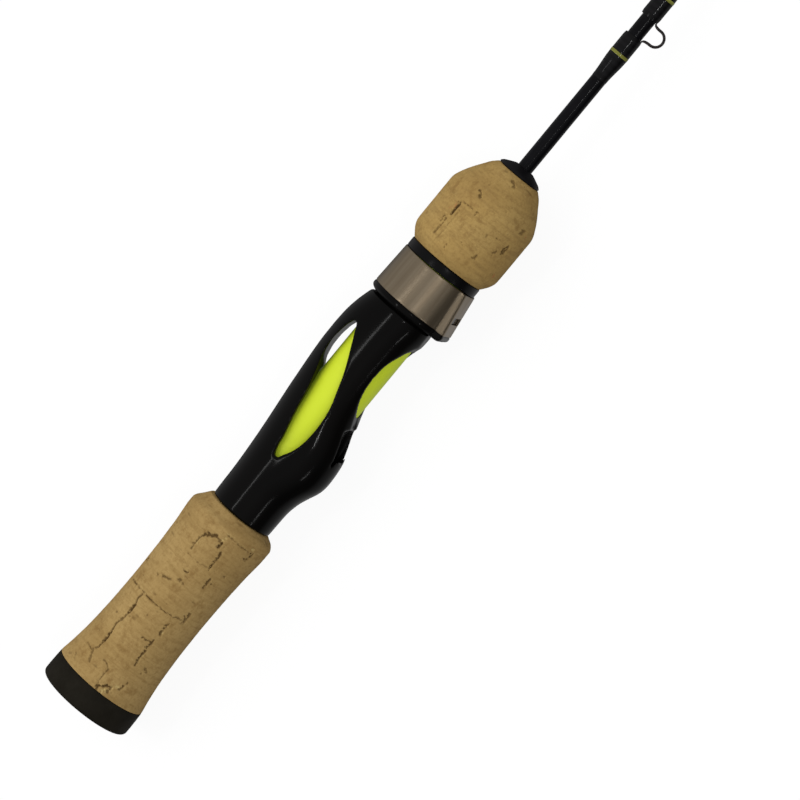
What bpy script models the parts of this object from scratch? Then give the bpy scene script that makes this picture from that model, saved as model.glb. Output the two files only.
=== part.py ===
"""Spinning ice fishing rod, lying on its side, ready for a reel.

The blank runs along +X from the butt to the tip top and its axis is the X axis. The origin is the
centre of the butt's flat end. The guides, the hook keeper and the reel foot bed face -Y, the reel
seat's spine faces +Y, and the rod is a mirror image of itself across the XY plane.
Every length below is in millimetres; MM turns it into metres where a shape is made.
"""

import math

import bmesh
import bpy
from mathutils import Matrix

MM = 0.001
WELD = 0.000002         # metres between points that count as one
GLUE_GAP = 0.1          # between two pieces that are glued or wound on each other
RUN_GAP = 0.25          # between two pieces that slide or turn on each other

# Stations along the rod, measured from the butt end.
CAP_END = 7.2
CORK_RING = 12.7
GRIP_SEAM = 33.3        # a joint between two cork rings; the others are whole rings away
GRIP_SHOULDER = 59.2
GRIP_END = 62.9
HOOD_REAR = 129.0
RING_REAR = 131.0
HOOD_FRONT = 142.6
COLLAR_FRONT = 145.3
FOREGRIP_SEAM = 160.4
FOREGRIP_SHOULDER = 163.0
FOREGRIP_END = 173.5
FRONT_CAP_END = 175.9
SPLICE = 338.0
TIP = 762.0

# Grip and seat radii.
BUTT_RADIUS = 13.15
BUTT_ROUNDING = 1.1
SOCKET_FLOOR = 3.6
WAIST_RADIUS = 11.05
WAIST_X = 34.0
REAR_FLARE = 1.9
FRONT_FLARE = 1.2
FLARE_POWER = 2.4
CORK_MOUTH_RADIUS = 9.2
SLEEVE_RADIUS = 7.25
SLEEVE_BORE = 6.1
SLIDEWAY_RADIUS = 8.4
THREAD_ROOT = 7.95
THREAD_PITCH = 2.0
THREAD_TURNS = 9
COLLAR_RADIUS = 10.7
NUT_RADIUS = 9.5
NUT_END = 163.0
FOREGRIP_RADIUS = 12.85
FRONT_FACE_RADIUS = 6.2

# Reel foot bed: the reel's foot lies flat on the plane y = -BED_DEPTH.
BED_DEPTH = 8.4
POCKET_HALF_WIDTH = 5.0
BEYOND = 20.0           # well outside the seat, for the ends of its cutters

# Blank: (station, radius), straight between stations.
BLANK = [(4.0, 2.06), (236.0, 2.04), (301.0, 1.23), (338.0, 1.19), (349.0, 1.18), (431.0, 0.975),
         (446.0, 0.93), (545.0, 0.80), (TIP - 4.6, 0.55)]
BLANK_BORE_BUTT = 1.2
BLANK_BORE_FRONT = 0.8
TENON_LENGTH = 18.0

# Hook keeper.
KEEPER_X = 221.5
KEEPER_REACH = 6.7
KEEPER_HALF_SPAN = 2.5
KEEPER_WIRE = 0.35
KEEPER_WRAPS = [("rear", 205.1, 218.4, 212.8), ("front", 224.6, 238.0, 230.8)]
KEEPER_WRAP_RADIUS = 2.72

# Guides: name, ring station, stand-off of the ring's centre, hoop radius, hole radius, wrap length.
GUIDE_LEAN = math.radians(22.0)
GUIDES = [("stripper", 460.7, 26.2, 8.9, 5.8, 14.0),
          ("guide_2", 561.0, 17.2, 6.2, 3.8, 11.0),
          ("guide_3", 637.0, 12.6, 4.7, 2.7, 9.5),
          ("guide_4", 696.0, 10.0, 3.8, 2.0, 8.5),
          ("guide_5", 737.0, 8.6, 3.3, 1.6, 8.0)]

ROUND = 28              # facets round a grip or seat piece
FINE = 48               # facets round a piece with a pocket or a rib
THIN = 12               # facets round the blank, its wraps and bands

BLACK = (0.012, 0.011, 0.012)
COLOURS = {
    "cork": ((0.45, 0.29, 0.13), 0.8, 0.0),
    "rubber": ((0.020, 0.017, 0.013), 0.75, 0.0),
    "gloss_black": (BLACK, 0.25, 0.0),
    "lime": ((0.62, 0.80, 0.03), 0.35, 0.0),
    "steel": ((0.42, 0.38, 0.34), 0.25, 1.0),
    "blank_black": ((0.010, 0.008, 0.014), 0.15, 0.0),
    "black_thread": (BLACK, 0.2, 0.0),
    "olive_thread": ((0.34, 0.36, 0.06), 0.2, 0.0),
    "guide_black": ((0.015, 0.010, 0.010), 0.2, 0.6),
    "ceramic": ((0.020, 0.018, 0.020), 0.1, 0.0),
    "arbor": ((0.62, 0.58, 0.50), 0.9, 0.0),
}


def clear_scene():
    for obj in list(bpy.data.objects):
        bpy.data.objects.remove(obj, do_unlink=True)


def make_collection(name):
    made = bpy.data.collections.new(name)
    bpy.context.scene.collection.children.link(made)
    return made


def make_material(name):
    colour, roughness, metallic = COLOURS[name]
    made = bpy.data.materials.new(name)
    made.use_nodes = True
    shader = made.node_tree.nodes["Principled BSDF"]
    shader.inputs["Base Color"].default_value = (*colour, 1.0)
    shader.inputs["Roughness"].default_value = roughness
    shader.inputs["Metallic"].default_value = metallic
    return made


def interpolate(points, x):
    """The value at x of straight stretches through points, (x, value) in rising x."""
    if x <= points[0][0]:
        return points[0][1]
    for (x0, v0), (x1, v1) in zip(points, points[1:]):
        if x <= x1:
            return v0 + (v1 - v0) * (x - x0) / (x1 - x0)
    return points[-1][1]


def ease(points, x):
    """The same with each stretch eased at both ends, for a moulded outline with no corners."""
    if x <= points[0][0]:
        return points[0][1]
    for (x0, v0), (x1, v1) in zip(points, points[1:]):
        if x <= x1:
            t = (x - x0) / (x1 - x0)
            return v0 + (v1 - v0) * t * t * (3 - 2 * t)
    return points[-1][1]


def blank_radius(x):
    return interpolate(BLANK, x)


def grip_radius(x):
    """The rear grip's waisted outline."""
    if x < WAIST_X:
        return WAIST_RADIUS + REAR_FLARE * ((WAIST_X - x) / (WAIST_X - CAP_END)) ** FLARE_POWER
    return WAIST_RADIUS + FRONT_FLARE * ((x - WAIST_X) / (GRIP_SHOULDER - WAIST_X)) ** FLARE_POWER


def steps(start, end, count):
    return [start + (end - start) * i / count for i in range(count + 1)]


class Rod:
    """The collections and materials that every piece of the rod is put in."""

    def __init__(self):
        self.parts = make_collection("ice_fishing_rod")
        self.cutters = make_collection("cutters")
        self.cutters.hide_render = True
        self.materials = {name: make_material(name) for name in COLOURS}

    def add(self, name, mesh, material):
        """A piece of the rod, or a cutter where there is no material."""
        obj = bpy.data.objects.new(name, mesh)
        if material is None:
            obj.hide_render = True
            obj.display_type = "WIRE"
            self.cutters.objects.link(obj)
        else:
            mesh.materials.append(self.materials[material])
            self.parts.objects.link(obj)
        return obj


def turned(rod, name, profile, material, facets=ROUND, place=(0.0, 0.0), lean=0.0):
    """A piece turned about the rod's axis, or about an axis at place that leans towards -Y.

    profile is (station, radius) from the front down the outside to the back and, in a piece with a
    bore, on through the bore to the front again."""
    has_bore = min(radius for _, radius in profile) > 0
    mesh = bpy.data.meshes.new(name)
    points = [(radius * MM, 0.0, station * MM) for station, radius in profile]
    edges = [(i, i + 1) for i in range(len(points) - 1)]
    if has_bore:
        edges.append((len(points) - 1, 0))
    mesh.from_pydata(points, edges, [])
    obj = rod.add(name, mesh, material)
    obj.location = (place[0] * MM, place[1] * MM, 0.0)
    obj.rotation_euler = (0.0, math.pi / 2, lean)
    screw = obj.modifiers.new("turn", "SCREW")
    screw.steps = screw.render_steps = facets
    screw.use_merge_vertices = True
    screw.merge_threshold = WELD
    screw.use_smooth_shade = True
    return obj


def sleeve(rod, name, stations, outer, inner, material, facets=FINE):
    """A tube about the rod's axis whose outside and bore need not be round.

    outer and inner give the radius at (station, angle), with the angle 0 at +Y and a quarter turn
    at +Z. A loft of unlike sections, so its faces are made here."""
    angles = [2 * math.pi * i / facets for i in range(facets)]
    points = []
    for surface in (outer, inner):
        for x in stations:
            for angle in angles:
                radius = surface(x, angle) * MM
                points.append((x * MM, radius * math.cos(angle), radius * math.sin(angle)))
    rows = len(stations)
    faces = []
    for layer in (0, rows):
        for row in range(layer, layer + rows - 1):
            for i in range(facets):
                j = (i + 1) % facets
                quad = (row * facets + i, row * facets + j, (row + 1) * facets + j, (row + 1) * facets + i)
                faces.append(quad[::-1] if layer == 0 else quad)
    for outer_row, inner_row, flip in ((0, rows, True), (rows - 1, 2 * rows - 1, False)):
        for i in range(facets):
            j = (i + 1) % facets
            quad = (outer_row * facets + i, outer_row * facets + j,
                    inner_row * facets + j, inner_row * facets + i)
            faces.append(quad if flip else quad[::-1])
    mesh = bpy.data.meshes.new(name)
    mesh.from_pydata(points, [], [face[::-1] for face in faces])
    mesh.shade_smooth()
    return rod.add(name, mesh, material)


def realise(rod, curve_object, name, material):
    """The mesh of a curve object, welded at its caps, in the curve's place."""
    bpy.context.view_layer.update()
    graph = bpy.context.evaluated_depsgraph_get()
    mesh = bpy.data.meshes.new_from_object(curve_object.evaluated_get(graph))
    mesh.name = name
    weld(mesh)
    mesh.materials.clear()
    obj = rod.add(name, mesh, material)
    obj.matrix_world = curve_object.matrix_world.copy()
    bpy.data.objects.remove(curve_object, do_unlink=True)
    return obj


def weld(mesh):
    """Joins points that coincide, such as those of a curve's loose caps, and turns the faces out."""
    made = bmesh.new()
    made.from_mesh(mesh)
    bmesh.ops.remove_doubles(made, verts=made.verts, dist=WELD)
    bmesh.ops.recalc_face_normals(made, faces=made.faces)
    made.to_mesh(mesh)
    made.free()


def plate(rod, name, outline, half_width, material=None, smooth=False):
    """A flat outline in the XY plane, (station, y), thickened by half_width to both sides."""
    curve = bpy.data.curves.new(name, "CURVE")
    curve.dimensions = "2D"
    curve.fill_mode = "BOTH"
    curve.extrude = half_width * MM
    spline = curve.splines.new("BEZIER" if smooth else "POLY")
    points = spline.bezier_points if smooth else spline.points
    points.add(len(outline) - 1)
    for point, (x, y) in zip(points, outline):
        if smooth:
            point.co = (x * MM, y * MM, 0.0)
            point.handle_left_type = point.handle_right_type = "AUTO"
        else:
            point.co = (x * MM, y * MM, 0.0, 1.0)
    spline.use_cyclic_u = True
    curve.resolution_u = 3
    shape = bpy.data.objects.new(name + "_outline", curve)
    bpy.context.scene.collection.objects.link(shape)
    return realise(rod, shape, name, material)


def box(rod, name, low, high):
    """A cutter with its lowest and highest corners at low and high."""
    mesh = bpy.data.meshes.new(name)
    made = bmesh.new()
    size = [(b - a) * MM for a, b in zip(low, high)]
    middle = [(a + b) / 2 * MM for a, b in zip(low, high)]
    bmesh.ops.create_cube(made, size=1.0, matrix=Matrix.Translation(middle) @ Matrix.Diagonal((*size, 1.0)))
    made.to_mesh(mesh)
    made.free()
    return rod.add(name, mesh, None)


def combine(obj, other, operation):
    boolean = obj.modifiers.new(other.name, "BOOLEAN")
    boolean.operation = operation
    boolean.solver = "EXACT"
    boolean.object = other


def make_butt_cap(rod):
    """Rubber cap with a flat end to stand the rod on and a blind socket for the blank."""
    front, hole = CAP_END - GLUE_GAP, blank_radius(0) + GLUE_GAP
    socket = [(SOCKET_FLOOR, 0.0), (SOCKET_FLOOR, hole), (front, hole)]
    rim = []
    for angle in steps(0, 90, 4):
        turn = math.radians(angle)
        rim.append((BUTT_ROUNDING * (1 - math.sin(turn)), BUTT_RADIUS - BUTT_ROUNDING * (1 - math.cos(turn))))
    turned(rod, "butt_cap", socket + [(front, BUTT_RADIUS - 0.2)] + rim + [(0.0, 0.0)], "rubber")


def make_rear_grip(rod):
    """Cork rings glued end to end on the blank, turned to a waist and bevelled at the seat."""
    bore = blank_radius(0) + GLUE_GAP
    seams = [GRIP_SEAM + CORK_RING * i for i in (-1, 0, 1, 2)]
    ends = [CAP_END] + seams + [GRIP_END]
    for number, (start, end) in enumerate(zip(ends, ends[1:]), 1):
        end -= GLUE_GAP
        if end < GRIP_SHOULDER:
            outside = [(x, grip_radius(x)) for x in steps(end, start, 3)]
        else:
            outside = [(end, CORK_MOUTH_RADIUS), (GRIP_SHOULDER + 0.4, grip_radius(GRIP_SHOULDER) - 0.3),
                       (start, grip_radius(GRIP_SHOULDER))]
        turned(rod, f"rear_cork_{number}", outside + [(start, bore), (end, bore)], "cork")


def seat_radius(x, angle):
    """The reel seat's outside: a round body with a spine at +Y and the rear hood's hump at -Y."""
    spine = ease([(63, 8.5), (90, 10.6), (115, 12.4), (128.8, 9.7)], x)
    belly = ease([(63, 9.1), (70, 9.3), (83.4, 12.75), (102, 8.4), (128.8, 8.8)], x)
    side = ease([(63, 8.8), (82, 9.8), (108, 8.9), (128.8, 8.9)], x)
    across = math.cos(angle)
    if across > 0:
        return side + (spine - side) * across ** 2.5
    return side + (belly - side) * (-across) ** 1.3


def key_height(angle, half_width, height):
    """A low key along the spine side, that keeps the sliding hood from turning."""
    from_spine = abs((math.degrees(angle) + 180) % 360 - 180)
    return height if from_spine < half_width else 0.0


def make_reel_seat(rod):
    """Moulded skeleton seat: side windows, an open foot bed, a fixed rear hood, and in front the
    slideway that the moving hood runs on."""
    bore = SLEEVE_RADIUS + GLUE_GAP
    front = HOOD_FRONT - 0.2

    def outside(x, angle):
        if x < HOOD_REAR:
            return seat_radius(x, angle)
        return SLIDEWAY_RADIUS + key_height(angle, 8.0, 0.5)

    stations = steps(GRIP_END + GLUE_GAP, HOOD_REAR - RUN_GAP, 22) + [HOOD_REAR, front]
    seat = sleeve(rod, "reel_seat_body", stations, outside, lambda x, angle: bore, "gloss_black", 36)

    window = plate(rod, "window_cutter", [
        (81.4, 0.6), (86.3, 2.6), (93.7, 4.7), (101.0, 6.3), (106.5, 8.1), (112.3, 9.2), (117.8, 8.9),
        (119.9, 7.2), (117.6, 5.3), (110.5, 1.9), (103.9, -0.8), (98.8, -2.3), (92.0, -3.1), (85.6, -2.2)],
        BEYOND, smooth=True)
    combine(seat, window, "DIFFERENCE")

    # The bed is open to the sleeve; behind it the hood's mouth slants up to the hump's crown.
    bed = plate(rod, "bed_cutter", [
        (88.7, -12.4), (90.4, -10.9), (92.5, -9.85), (96.4, -8.7), (99.4, -7.6), (104.4, -6.3),
        (112.0, -5.3), (118.5, -6.3), (123.2, -8.2), (124.0, -9.5), (123.0, -16.0), (106.0, -BEYOND),
        (90.0, -17.0)], BEYOND, smooth=True)
    combine(seat, bed, "DIFFERENCE")

    # The pocket that the reel foot slides into: a step in its floor and a sloping roof.
    pocket = plate(rod, "pocket_cutter", [
        (80.5, -BED_DEPTH + 0.2), (89.6, -BED_DEPTH + 0.2), (89.6, -BED_DEPTH), (98.0, -BED_DEPTH),
        (98.0, -12.7), (80.5, -9.8)], POCKET_HALF_WIDTH)
    combine(seat, pocket, "DIFFERENCE")

    ledge = box(rod, "front_ledge_cutter", (120.0, -BEYOND, -BEYOND), (HOOD_REAR - 0.1, -BED_DEPTH, BEYOND))
    combine(seat, ledge, "DIFFERENCE")


def make_seat_core(rod):
    """The lime sleeve that the seat is glued round, and the arbors that centre it on the blank."""
    start, end = GRIP_END + 0.3, 152.0
    turned(rod, "seat_sleeve", [(end, SLEEVE_RADIUS), (start, SLEEVE_RADIUS), (start, SLEEVE_BORE),
                                (end, SLEEVE_BORE)], "lime", 32)
    outer, inner = SLEEVE_BORE - GLUE_GAP, blank_radius(0) + GLUE_GAP
    for name, x0, x1 in (("rear_arbor", 64.0, 80.0), ("front_arbor", 134.0, 150.0)):
        turned(rod, name, [(x1, outer), (x0, outer), (x0, inner), (x1, inner)], "arbor", 20)


def make_threaded_barrel(rod):
    """The barrel in front of the seat, with the external thread that the foregrip's nut runs on."""
    start = HOOD_FRONT
    samples = 4
    stations = steps(start, start + THREAD_PITCH * THREAD_TURNS, samples * THREAD_TURNS)

    def outside(x, angle):
        turn = ((x - start) / THREAD_PITCH - angle / (2 * math.pi)) % 1.0
        ridge = min(1.0, max(0.0, 2.0 - abs(turn - 0.5) * 6.0))
        near_end = min(x - stations[0], stations[-1] - x) < THREAD_PITCH / 2
        return THREAD_ROOT if near_end else THREAD_ROOT + (SLIDEWAY_RADIUS - THREAD_ROOT) * ridge

    sleeve(rod, "threaded_barrel", stations, outside, lambda x, angle: SLEEVE_RADIUS + RUN_GAP,
           "gloss_black", 16)


def hood_radius(x, angle, inset=0.0):
    """The moving hood's outside: a taper with a flat-sided bump at -Y over the reel foot.

    inset shrinks it evenly, for a surface inside that one."""
    t = min(1.0, max(0.0, (x - RING_REAR) / (HOOD_FRONT - RING_REAR)))
    bump = bump_radius(angle, 5.7 + 0.9 * t - inset, 12.65 - 1.8 * t - inset)
    return max(11.2 - 0.4 * t - inset, bump)


def bump_radius(angle, half_width, height):
    """A rectangle with rounded corners, seen from the axis, on the -Y side only."""
    towards = -math.cos(angle)
    if towards <= 0:
        return 0.0
    corner = 9
    return ((towards / height) ** corner + (abs(math.sin(angle)) / half_width) ** corner) ** (-1 / corner)


def make_hood(rod):
    """The moving hood: a moulded insert with the front pocket, and a steel ring pressed over it."""
    wall = 0.5
    lip = [HOOD_REAR, HOOD_REAR + 0.5, HOOD_REAR + 1.3, RING_REAR - GLUE_GAP]
    pocket_end = 138.6
    stations = lip + [RING_REAR, 135.0, pocket_end, pocket_end + 0.1, 140.6, HOOD_FRONT - GLUE_GAP]

    def outside(x, angle):
        if x >= RING_REAR:
            return hood_radius(x, angle, wall + RUN_GAP)
        rounding = 1.1 * max(0.0, 1 - (x - HOOD_REAR) / 1.3) ** 2
        return hood_radius(RING_REAR, angle) - rounding

    def bore(x, angle):
        plain = SLIDEWAY_RADIUS + RUN_GAP + key_height(angle, 16.0, 0.5)
        if x > pocket_end:
            return plain
        t = (x - HOOD_REAR) / (pocket_end - HOOD_REAR)
        return max(plain, bump_radius(angle, 4.8, 11.3 - 1.4 * t))

    sleeve(rod, "hood_insert", stations, outside, bore, "gloss_black")
    ring = sleeve(rod, "hood_ring", [RING_REAR, 135.0, pocket_end, 140.6, HOOD_FRONT], hood_radius,
                  lambda x, angle: hood_radius(x, angle, wall), "steel")
    latch = box(rod, "latch_cutter", (134.4, -14.0, -4.2), (136.5, -11.0, 4.2))
    combine(ring, latch, "DIFFERENCE")


def make_foregrip(rod):
    """The locking nut with its collar, two cork rings glued on it, and the front cap."""
    bore = SLIDEWAY_RADIUS + RUN_GAP
    rear = HOOD_FRONT + GLUE_GAP
    turned(rod, "foregrip_nut", [
        (NUT_END, NUT_RADIUS), (COLLAR_FRONT, NUT_RADIUS), (COLLAR_FRONT, COLLAR_RADIUS),
        (rear + 0.3, COLLAR_RADIUS), (rear, COLLAR_RADIUS - 0.3), (rear, bore), (NUT_END, bore)],
        "gloss_black", 32)
    cork_bore = NUT_RADIUS + GLUE_GAP
    start = COLLAR_FRONT + GLUE_GAP
    turned(rod, "fore_cork_1", [
        (FOREGRIP_SEAM, FOREGRIP_RADIUS), (start + 3.3, FOREGRIP_RADIUS), (start + 2.3, FOREGRIP_RADIUS - 0.4),
        (start, COLLAR_RADIUS + 0.2), (start, cork_bore), (FOREGRIP_SEAM, cork_bore)], "cork")
    blank_hole = blank_radius(0) + RUN_GAP
    seam = FOREGRIP_SEAM + GLUE_GAP
    turned(rod, "fore_cork_2", [
        (FOREGRIP_END, FRONT_FACE_RADIUS), (171.6, 8.1), (167.4, 10.9), (FOREGRIP_SHOULDER + 1.3, 12.45),
        (FOREGRIP_SHOULDER - 0.4, FOREGRIP_RADIUS), (seam, FOREGRIP_RADIUS), (seam, cork_bore),
        (NUT_END + GLUE_GAP, cork_bore), (NUT_END + GLUE_GAP, blank_hole), (FOREGRIP_END, blank_hole)],
        "cork")
    cap = FOREGRIP_END + GLUE_GAP
    turned(rod, "front_cap", [
        (FRONT_CAP_END, blank_hole + 0.1), (FRONT_CAP_END, 2.8), (175.4, 4.0), (174.6, 5.3), (cap, 6.1),
        (cap, blank_hole), (FRONT_CAP_END - 0.2, blank_hole)], "rubber", 24)


def make_blank(rod):
    """A hollow butt section through the handle, and a solid tip section plugged into its front."""
    butt = [(x, r) for x, r in BLANK if x <= SPLICE]
    tip = [(x, r) for x, r in BLANK if x > SPLICE]
    end, start = butt[-1][0], butt[0][0]
    turned(rod, "blank_butt", butt[::-1] + [(start, BLANK_BORE_BUTT), (236.0, BLANK_BORE_BUTT),
                                            (end, BLANK_BORE_FRONT)], "blank_black", THIN)
    tenon = BLANK_BORE_FRONT - GLUE_GAP
    shoulder = SPLICE + GLUE_GAP
    profile = [(tip[-1][0], 0.0)] + tip[::-1] + [(shoulder, blank_radius(SPLICE)), (shoulder, tenon),
                                                 (SPLICE - TENON_LENGTH, tenon), (SPLICE - TENON_LENGTH, 0.0)]
    turned(rod, "blank_tip", profile, "blank_black", THIN)


def make_wrap(rod, name, start, end, radius, bore, material, taper, shift=0.0):
    """Thread wound round the blank and coated, with tapered ends."""
    low = bore + 0.15
    turned(rod, name, [
        (end, low), (end - taper * 0.4, (low + 2 * radius) / 3), (end - taper, radius),
        (start + taper, radius), (start + taper * 0.4, (low + 2 * radius) / 3), (start, low),
        (start, bore), (end, bore)], material, THIN, (0.0, -shift))


def make_band(rod, name, middle, width, radius, material, shift=0.0):
    """A narrow band of thread of another colour, wound over a wrap."""
    x0, x1 = middle - width / 2, middle + width / 2
    inner, outer = radius + 0.05, radius + 0.2
    turned(rod, name, [(x1, outer), (x0, outer), (x0, inner), (x1, inner)], material, THIN, (0.0, -shift))


def make_keeper(rod):
    """A wire loop to hook the lure on, its two flattened feet under thread wraps."""
    foot = blank_radius(KEEPER_X) + 0.25
    radius = KEEPER_HALF_SPAN - KEEPER_WIRE
    centre = KEEPER_REACH - radius
    path = [(KEEPER_X - 9.5, foot, 0.5), (KEEPER_X - 3.05, foot, 0.5), (KEEPER_X - 2.6, foot + 0.35, 0.8),
            (KEEPER_X - 2.25, foot + 1.0, 1.0)]
    for angle in steps(180, 0, 8):
        turn = math.radians(angle)
        path.append((KEEPER_X + radius * math.cos(turn), centre + radius * math.sin(turn), 1.0))
    path += [(2 * KEEPER_X - x, depth, size) for x, depth, size in path[3::-1]]
    curve = bpy.data.curves.new("keeper_loop", "CURVE")
    curve.dimensions = "3D"
    curve.bevel_depth = KEEPER_WIRE * MM
    curve.bevel_resolution = 2
    curve.use_fill_caps = True
    spline = curve.splines.new("POLY")
    spline.points.add(len(path) - 1)
    for point, (x, depth, size) in zip(spline.points, path):
        point.co = (x * MM, -depth * MM, 0.0, 1.0)
        point.radius = size
    shape = bpy.data.objects.new("keeper_route", curve)
    bpy.context.scene.collection.objects.link(shape)
    realise(rod, shape, "keeper_loop", "guide_black")
    for side, start, end, band in KEEPER_WRAPS:
        make_wrap(rod, f"keeper_wrap_{side}", start, end, KEEPER_WRAP_RADIUS, foot + 0.25, "black_thread", 2.0)
        make_band(rod, f"keeper_band_{side}", band, 0.8, KEEPER_WRAP_RADIUS, "olive_thread")


def strip(path, thicknesses):
    """The outline of a strip that follows path, (station, depth below the axis), with y = -depth."""
    left, right = [], []
    for i, (x, depth) in enumerate(path):
        x0, d0 = path[max(i - 1, 0)]
        x1, d1 = path[min(i + 1, len(path) - 1)]
        length = math.hypot(x1 - x0, d1 - d0)
        nx, nd = (d1 - d0) / length, -(x1 - x0) / length
        half = thicknesses[i] / 2
        left.append((x + nx * half, -(depth + nd * half)))
        right.append((x - nx * half, -(depth - nd * half)))
    return left + right[::-1]


def make_guide(rod, name, station, stand_off, hoop, hole, wrap_length):
    """A single-foot guide: hoop, arm and foot in one, a ceramic ring, and its thread wrap."""
    size = (hoop / 8.9) ** 0.6
    depth = 1.9 * size
    seat = hole + (hoop - hole) * 0.36
    facets = 32 if hoop > 8 else 20
    half = depth / 2
    place = (station, -stand_off)
    hoop_ring = turned(rod, f"{name}_frame", [
        (half * 0.5, hoop), (-half * 0.5, hoop), (-half, (hoop + seat) / 2), (-half, seat), (half, seat),
        (half, (hoop + seat) / 2)], "guide_black", facets, place, GUIDE_LEAN)
    ring = seat - 0.05
    turned(rod, f"{name}_insert", [
        (half * 0.7, ring), (-half * 0.7, ring), (-half * 0.9, (ring + hole) / 2), (-half * 0.35, hole),
        (half * 0.35, hole), (half * 0.9, (ring + hole) / 2)], "ceramic", facets, place, GUIDE_LEAN)

    run = 0.573 * stand_off
    foot_front = station - run
    blank = blank_radius(foot_front)
    foot_thick = 0.5 * size
    foot_depth = blank + GLUE_GAP + foot_thick / 2
    join = (station - (hoop - 0.8 * size) * math.sin(GUIDE_LEAN),
            stand_off - (hoop - 0.8 * size) * math.cos(GUIDE_LEAN))
    bend = (foot_front + 0.56 * (join[0] - foot_front), foot_depth + 0.28 * (join[1] - foot_depth))
    arm = []
    for t in steps(0.0, 1.0, 6):
        arm.append(tuple((1 - t) ** 2 * a + 2 * t * (1 - t) * b + t * t * c
                         for a, b, c in zip((foot_front, foot_depth), bend, join)))
    arm_thick = 1.05 * size
    thicknesses = [foot_thick] + [arm_thick] * (len(arm) - 1)
    arm_plate = plate(rod, f"{name}_arm", strip(arm, thicknesses), 1.15 * size)
    foot = [(foot_front - wrap_length + 1.2, foot_depth), (foot_front + 0.25, foot_depth)]
    foot_plate = plate(rod, f"{name}_foot", strip(foot, [0.5 * foot_thick, foot_thick]), 0.5 * size)
    combine(hoop_ring, arm_plate, "UNION")
    combine(hoop_ring, foot_plate, "UNION")

    shift = 0.2 * size
    wrap_end = foot_front - 0.6
    bore = math.hypot(foot_depth + foot_thick / 2 - shift, 0.5 * size) + 0.1
    bore = max(bore, blank_radius(wrap_end - wrap_length) + shift + 0.1)
    radius = bore + 0.3
    make_wrap(rod, f"{name}_wrap", wrap_end - wrap_length, wrap_end, radius, bore, "olive_thread", 1.2, shift)
    make_band(rod, f"{name}_band", wrap_end - wrap_length / 2, 1.1 * size, radius, "black_thread", shift)


def make_tip_top(rod):
    """The end ring on a short tube over the tip, and the tube's thread wrap."""
    hoop, hole, depth = 3.0, 1.5, 1.3
    centre = (TIP - 1.9, -3.1)
    seat = 2.05
    frame = turned(rod, "tip_top_frame", [
        (depth * 0.25, hoop), (-depth * 0.25, hoop), (-depth / 2, 2.6), (-depth / 2, seat), (depth / 2, seat),
        (depth / 2, 2.6)], "guide_black", 20, centre, GUIDE_LEAN)
    bore = blank_radius(TIP - 9) + GLUE_GAP
    tube = turned(rod, "tip_top_tube", [
        (TIP - 2.6, 0.0), (TIP - 2.6, 1.0), (TIP - 9.0, 1.0), (TIP - 9.0, bore), (TIP - 4.3, bore),
        (TIP - 4.3, 0.0)], None, THIN)
    combine(frame, tube, "UNION")
    turned(rod, "tip_top_insert", [
        (depth * 0.35, seat - 0.05), (-depth * 0.35, seat - 0.05), (-depth * 0.45, 1.8), (-depth * 0.2, hole),
        (depth * 0.2, hole), (depth * 0.45, 1.8)], "ceramic", 20, centre, GUIDE_LEAN)
    start = TIP - 15.0
    make_wrap(rod, "tip_top_wrap", start, TIP - 9.2, 1.05, blank_radius(start) + GLUE_GAP, "olive_thread", 0.8)
    make_band(rod, "tip_top_band", start + 3.0, 0.8, 1.05, "black_thread")


def main():
    clear_scene()
    rod = Rod()
    make_butt_cap(rod)
    make_rear_grip(rod)
    make_reel_seat(rod)
    make_seat_core(rod)
    make_threaded_barrel(rod)
    make_hood(rod)
    make_foregrip(rod)
    make_blank(rod)
    make_keeper(rod)
    make_wrap(rod, "splice_wrap", 330.9, 345.1, 1.62, blank_radius(330.9) + GLUE_GAP, "black_thread", 2.6)
    make_band(rod, "splice_band", SPLICE, 1.1, 1.62, "olive_thread")
    for guide in GUIDES:
        make_guide(rod, *guide)
    make_tip_top(rod)


main()
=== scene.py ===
"""Studio render of the ice fishing rod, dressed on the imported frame.

Positions along the rod are millimetres from the butt end, the frame's origin; MM turns them into
metres. The rod's axis is the X axis, its guides and its reel foot bed face -Y.
"""

import math

import bmesh
import bpy
import numpy as np
from mathutils import Matrix, Vector, noise


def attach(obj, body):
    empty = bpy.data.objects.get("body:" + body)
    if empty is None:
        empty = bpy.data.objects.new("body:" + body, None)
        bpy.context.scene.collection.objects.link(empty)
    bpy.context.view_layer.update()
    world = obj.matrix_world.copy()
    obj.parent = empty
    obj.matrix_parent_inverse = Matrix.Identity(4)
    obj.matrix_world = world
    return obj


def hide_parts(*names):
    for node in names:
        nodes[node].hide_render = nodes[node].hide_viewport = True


MM = 0.001

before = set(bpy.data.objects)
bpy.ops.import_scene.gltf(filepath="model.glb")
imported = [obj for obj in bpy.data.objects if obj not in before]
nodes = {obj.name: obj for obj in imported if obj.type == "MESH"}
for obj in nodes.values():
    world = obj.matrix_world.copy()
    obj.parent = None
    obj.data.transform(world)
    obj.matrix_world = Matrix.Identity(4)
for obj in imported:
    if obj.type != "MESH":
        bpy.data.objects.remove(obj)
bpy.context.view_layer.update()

# Stations and radii shared with the CAD.
CAP_END = 7.2
CORK_RING = 12.7
GRIP_SEAM = 33.3
GRIP_SHOULDER = 59.2
GRIP_END = 62.9
SEAT_FRONT = 128.75
RING_REAR, RING_FRONT = 131.0, 142.6
COLLAR_FRONT = 145.3
FOREGRIP_SEAM = 160.4
FOREGRIP_END = 173.5
SLEEVE_RADIUS = 7.45
SPLICE = 338.0
TIP = 762.0
KEEPER_X = 221.5
GUIDE_LEAN = math.radians(22.0)
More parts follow.
